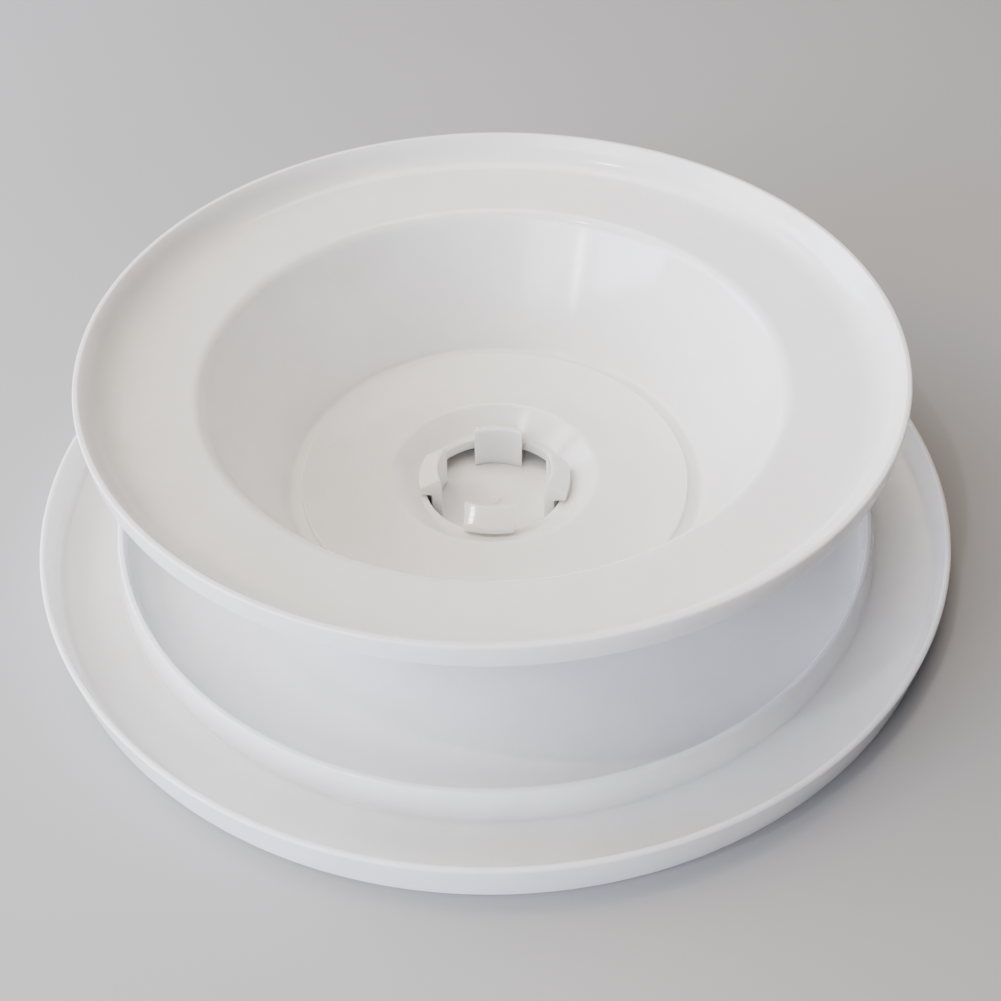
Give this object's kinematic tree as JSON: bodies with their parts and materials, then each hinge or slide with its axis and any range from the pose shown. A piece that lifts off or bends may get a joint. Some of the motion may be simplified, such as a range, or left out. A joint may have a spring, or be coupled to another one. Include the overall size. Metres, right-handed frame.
{
  "type": "cake turntable",
  "caption": "Round plastic turntable standing upside down: a flat skirted plate below, held by snap claws to a hollow conical foot with a wide lip, on a hidden ball bearing.",
  "frame": {"origin": "centre of the plate's flat face, on the surface that the turntable stands on upside down", "axes": "+Z along the turning axis from the plate to the rim of the foot (down in use); +X and +Y lie in the plate"},
  "size_m": [0.2798, 0.2798, 0.0696],
  "materials": {
    "plate_plastic": "white injection-moulded plastic, semi-gloss, very fine wear",
    "foot_plastic": "white injection-moulded plastic, semi-gloss, very fine wear",
    "cage_plastic": "natural moulded plastic",
    "ball_steel": "polished steel"
  },
  "bodies": {
    "foot": {"foot_base": "foot_plastic"},
    "plate": {"turntable_plate": "plate_plastic"},
    "bearing": {"ball_cage": "cage_plastic", "ball_01": "ball_steel", "ball_02": "ball_steel", "ball_03": "ball_steel", "ball_04": "ball_steel", "ball_05": "ball_steel", "ball_06": "ball_steel", "ball_07": "ball_steel", "ball_08": "ball_steel", "ball_09": "ball_steel", "ball_10": "ball_steel", "ball_11": "ball_steel", "ball_12": "ball_steel", "ball_13": "ball_steel", "ball_14": "ball_steel", "ball_15": "ball_steel", "ball_16": "ball_steel", "ball_17": "ball_steel", "ball_18": "ball_steel", "ball_19": "ball_steel", "ball_20": "ball_steel", "ball_21": "ball_steel", "ball_22": "ball_steel", "ball_23": "ball_steel", "ball_24": "ball_steel"}
  },
  "joints": [
    {"name": "plate_spin", "type": "hinge", "parent": "foot", "child": "plate", "pos_m": [0, 0, 0.0102], "axis": [0, 0, 1], "continuous": true},
    {"name": "cage_spin", "type": "hinge", "parent": "foot", "child": "bearing", "pos_m": [0, 0, 0.0102], "axis": [0, 0, 1], "continuous": true}
  ],
  "couplings": [
    {"joint": "cage_spin", "follows": "plate_spin", "ratio": 0.5}
  ]
}
